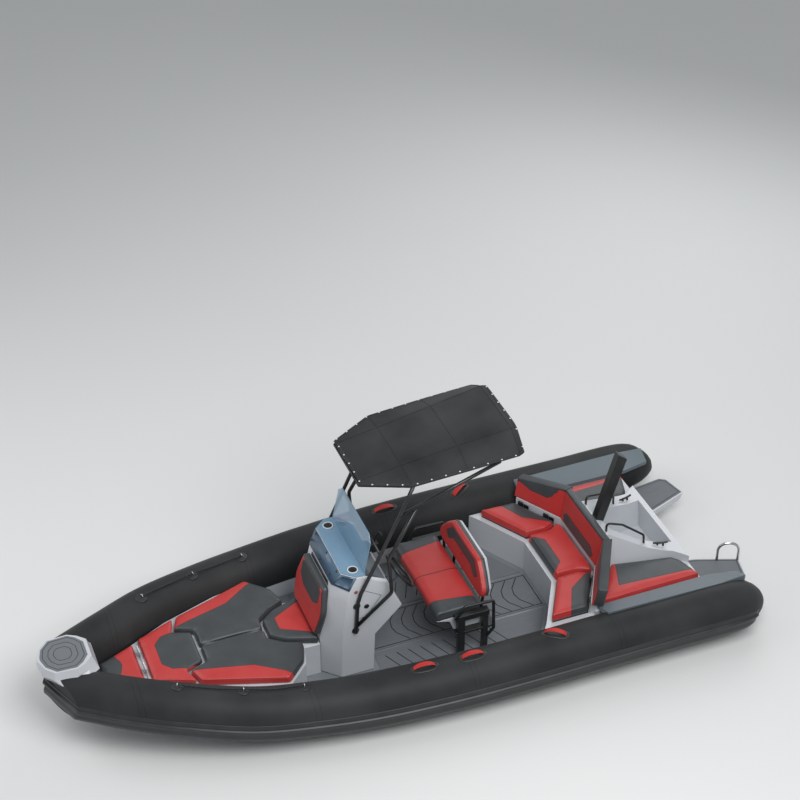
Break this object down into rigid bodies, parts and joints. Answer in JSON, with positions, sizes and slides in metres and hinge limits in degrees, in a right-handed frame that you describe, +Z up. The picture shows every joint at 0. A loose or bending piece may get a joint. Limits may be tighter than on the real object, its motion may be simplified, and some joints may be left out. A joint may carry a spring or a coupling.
{
  "type": "inflatable rib boat",
  "caption": "Rigid inflatable boat afloat: deep-V hull, air tube collar, padded bow, centre console with windscreen and T-top, helm seat, horseshoe aft seat, engine well and swim platforms.",
  "frame": {"origin": "on the waterline, in the middle plane, at the foot of the transom", "axes": "+X forward to the bow, +Y to port, +Z up from the water"},
  "size_m": [6.651, 2.7556, 2.802],
  "materials": {
    "grp": "gloss",
    "collar_fabric": "matte",
    "black_rubber": "matte",
    "grey_moulding": "satin",
    "eva_foam": "matte",
    "steel": "polished",
    "black_metal": "satin",
    "rope": "matte",
    "red_vinyl": "satin",
    "dash_plastic": "matte",
    "wheel_plastic": "satin",
    "tinted_glass": "gloss",
    "canopy_fabric": "matte"
  },
  "bodies": {
    "boat": {"hull": "grp", "deck_liner": "grp", "bow_locker": "grp", "console": "grp", "aft_seat_base": "grp", "aft_deck": "grp", "swim_platforms": "grp", "nose_step": "grp", "helm_shell": "grp", "helm_seat_pan": "grp", "collar_port": "collar_fabric", "collar_starboard": "collar_fabric", "rub_strakes": "black_rubber", "grab_straps": "black_rubber", "quarter_fairings": "grey_moulding", "deck_mats": "eva_foam", "platform_mats": "eva_foam", "nose_mat": "eva_foam", "lid_hinges": "steel", "rope_rings": "steel", "top_frame": "black_metal", "canopy_frame": "black_metal", "helm_frame": "black_metal", "tow_mast": "black_metal", "well_rails": "black_metal", "boarding_hoop": "black_metal", "cleats": "black_metal", "bow_ropes": "rope", "bow_tip_cushion": "red_vinyl", "bow_cushions": "red_vinyl", "console_seat_cushion": "red_vinyl", "console_seat_back": "red_vinyl", "helm_cushion": "red_vinyl", "helm_backrest": "red_vinyl", "seat_cushion_centre": "red_vinyl", "aft_backrests": "red_vinyl", "sun_pads": "red_vinyl", "dashboard": "dash_plastic", "throttle": "dash_plastic", "windscreen": "tinted_glass", "canopy": "canopy_fabric"},
    "wheel": {"steering_wheel": "wheel_plastic"},
    "bow_lid": {"bow_locker_lid": "grp", "bow_lid_cushion": "red_vinyl"},
    "port_lid": {"seat_lid_port": "grp", "seat_cushion_port": "red_vinyl"},
    "starboard_lid": {"seat_lid_starboard": "grp", "seat_cushion_starboard": "red_vinyl"}
  },
  "joints": [
    {"name": "steering", "type": "hinge", "parent": "boat", "child": "wheel", "pos_m": [2.884, 0.22, 0.876], "axis": [-0.8192, 0, 0.5736], "range_deg": [-540, 540]},
    {"name": "bow_lid_hinge", "type": "hinge", "parent": "boat", "child": "bow_lid", "pos_m": [5.16, 0, 0.484], "axis": [0, 1, 0], "range_deg": [0, 88]},
    {"name": "port_lid_hinge", "type": "hinge", "parent": "boat", "child": "port_lid", "pos_m": [1.03, 0.58, 0.48], "axis": [-0.4999, -0.8661, 0], "range_deg": [0, 80]},
    {"name": "starboard_lid_hinge", "type": "hinge", "parent": "boat", "child": "starboard_lid", "pos_m": [1.03, -0.58, 0.48], "axis": [0.4999, -0.8661, 0], "range_deg": [0, 80]}
  ]
}
